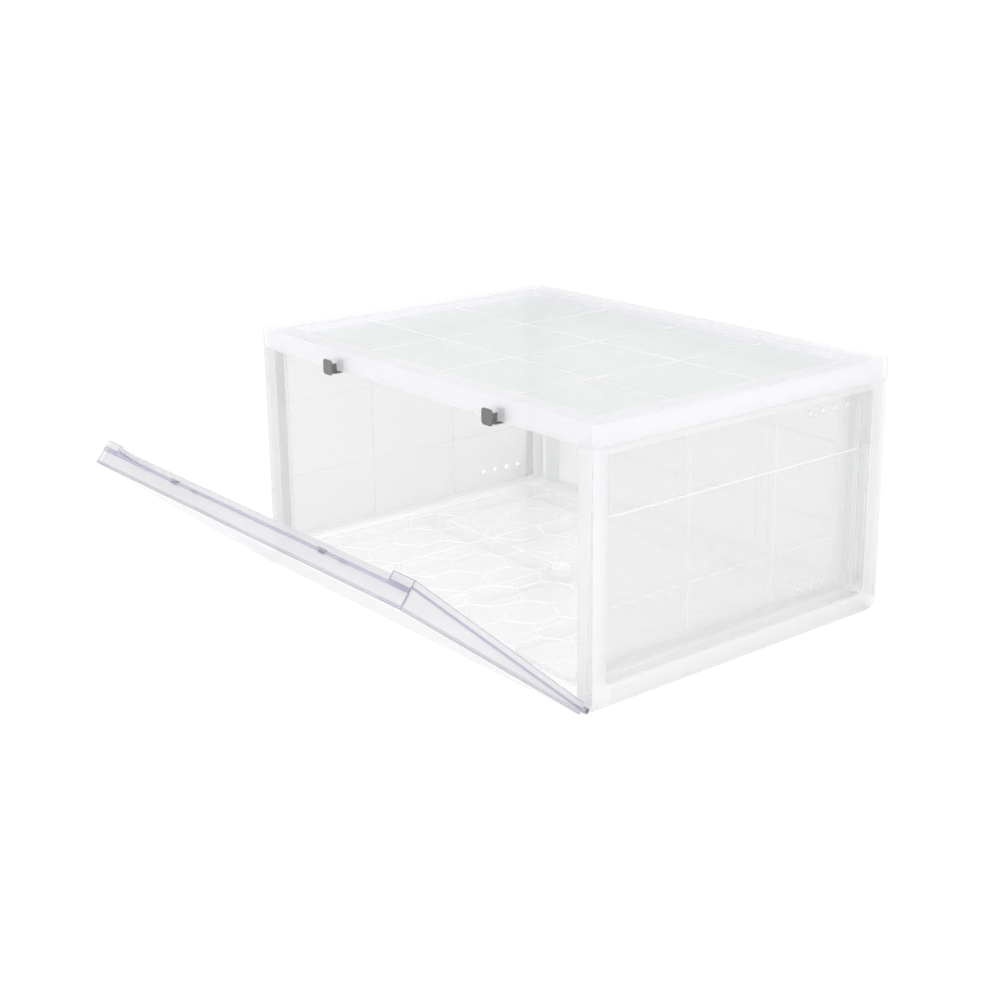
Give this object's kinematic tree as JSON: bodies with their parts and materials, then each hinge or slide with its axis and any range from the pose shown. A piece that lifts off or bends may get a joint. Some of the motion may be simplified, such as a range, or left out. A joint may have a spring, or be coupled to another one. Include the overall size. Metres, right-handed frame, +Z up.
{
  "type": "drop-front shoe box",
  "caption": "Clear stackable shoe display box with a raised-rim lid, vented side panels and a wedge-shaped front door that drops open on hinge pins.",
  "frame": {"origin": "centre of the box's underside, on the foot under the floor", "axes": "+Z up, +Y to the back, the door opens towards -Y"},
  "size_m": [0.36, 0.3971, 0.176],
  "materials": {
    "frosted_plastic": "frosted translucent polypropylene",
    "clear_plastic": "lightly frosted clear polypropylene",
    "door_plastic": "polished clear, faint violet in the edges",
    "magnet": "nickel plated",
    "steel": "dark zinc-plated sheet steel",
    "pin_steel": "drawn wire, ends chamfered"
  },
  "bodies": {
    "box": {"top_panel": "frosted_plastic", "bottom_panel": "clear_plastic", "left_side_panel": "clear_plastic", "right_side_panel": "clear_plastic", "back_panel": "clear_plastic", "catch_plate_left": "steel", "catch_plate_right": "steel", "hinge_pin_left": "pin_steel", "hinge_pin_right": "pin_steel"},
    "door": {"door_panel": "door_plastic", "door_magnet_left": "magnet", "door_magnet_right": "magnet"}
  },
  "joints": [
    {"name": "door_hinge", "type": "hinge", "parent": "box", "child": "door", "pos_m": [0, -0.1346, 0.0024], "axis": [1, 0, 0], "range_deg": [-48.3, 0]}
  ]
}
